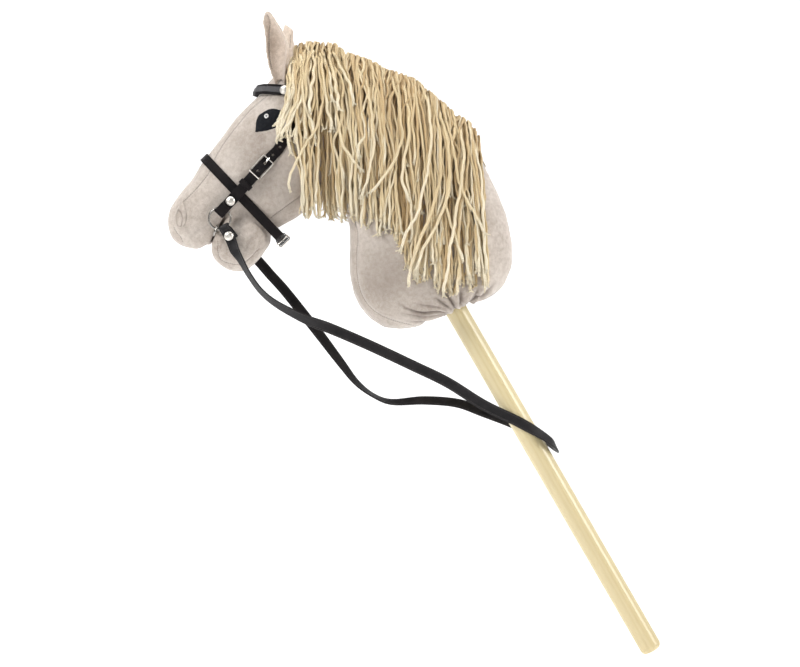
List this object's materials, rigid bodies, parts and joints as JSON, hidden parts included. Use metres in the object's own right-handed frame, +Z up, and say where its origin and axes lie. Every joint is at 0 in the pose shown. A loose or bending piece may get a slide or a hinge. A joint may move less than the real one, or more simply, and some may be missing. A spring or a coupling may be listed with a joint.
{
  "type": "hobby horse",
  "caption": "Stuffed velour horse's head and neck on a pine stick, with a hanging yarn mane, a buckled leather bridle, a loose-ring bit and reins round the stick.",
  "frame": {"origin": "middle of the flat on the foot of the stick", "axes": "+Z up with the stick leaning 30 degrees back from it, the horse's nose towards -X, its far side towards +Y, and the mane falling on the near side towards -Y"},
  "size_m": [0.5586, 0.1161, 0.7261],
  "materials": {
    "pine": "clear satin varnish",
    "velour": "short soft pile",
    "filling": "polyester wadding",
    "felt": "matt felt with a stitched highlight",
    "yarn": "thick twisted yarn",
    "tape": "woven tape",
    "leather": "smooth semi-gloss strap",
    "nickel": "bright nickel plate",
    "cord": "twisted cord"
  },
  "bodies": {
    "horse": {"stick": "pine", "head_casing": "velour", "neck_casing": "velour", "jaw_casing": "velour", "near_ear": "velour", "far_ear": "velour", "near_nostril": "velour", "far_nostril": "velour", "head_stuffing": "filling", "neck_stuffing": "filling", "jaw_stuffing": "filling", "near_eye": "felt", "far_eye": "felt", "mane": "yarn", "forelock": "yarn", "mane_tape": "tape", "crownpiece": "leather", "browband": "leather", "noseband": "leather", "noseband_keeper": "leather", "near_cheekpiece": "leather", "far_cheekpiece": "leather", "reins": "leather", "bit_mouthpiece": "nickel", "noseband_buckle_frame": "nickel", "near_cheek_buckle_frame": "nickel", "near_cheek_stud": "nickel", "near_browband_stud": "nickel", "near_rein_stud": "nickel", "far_cheek_buckle_frame": "nickel", "far_cheek_stud": "nickel", "far_browband_stud": "nickel", "far_rein_stud": "nickel", "gathering_cord": "cord"},
    "near_ring": {"near_bit_ring": "nickel"},
    "far_ring": {"far_bit_ring": "nickel"},
    "near_cheek_prong": {"near_cheek_buckle_prong": "nickel"},
    "far_cheek_prong": {"far_cheek_buckle_prong": "nickel"},
    "noseband_prong": {"noseband_buckle_prong": "nickel"},
    "near_keeper": {"near_cheek_keeper": "leather"},
    "far_keeper": {"far_cheek_keeper": "leather"}
  },
  "joints": [
    {"name": "near_ring_turn", "type": "hinge", "parent": "horse", "child": "near_ring", "pos_m": [-0.48906, -0.04309, 0.48933], "axis": [-0.0494, -0.9974, -0.0533], "continuous": true},
    {"name": "far_ring_turn", "type": "hinge", "parent": "horse", "child": "far_ring", "pos_m": [-0.48906, 0.04309, 0.48933], "axis": [-0.0494, 0.9974, -0.0533], "continuous": true},
    {"name": "near_cheek_prong_lift", "type": "hinge", "parent": "horse", "child": "near_cheek_prong", "pos_m": [-0.44962, -0.04711, 0.53838], "axis": [0.7332, 0, -0.68], "range_deg": [0, 4]},
    {"name": "far_cheek_prong_lift", "type": "hinge", "parent": "horse", "child": "far_cheek_prong", "pos_m": [-0.44962, 0.04711, 0.53838], "axis": [-0.7332, 0, 0.68], "range_deg": [0, 4]},
    {"name": "noseband_prong_lift", "type": "hinge", "parent": "horse", "child": "noseband_prong", "pos_m": [-0.4221, 0.008, 0.46841], "axis": [0.7254, 0, 0.6883], "range_deg": [0, 4]},
    {"name": "near_keeper_slide", "type": "slide", "parent": "horse", "child": "near_keeper", "axis": [0.6783, -0.0727, 0.7312], "range_m": [0, 0.005]},
    {"name": "far_keeper_slide", "type": "slide", "parent": "horse", "child": "far_keeper", "axis": [0.6783, 0.0727, 0.7312], "range_m": [0, 0.005]}
  ]
}
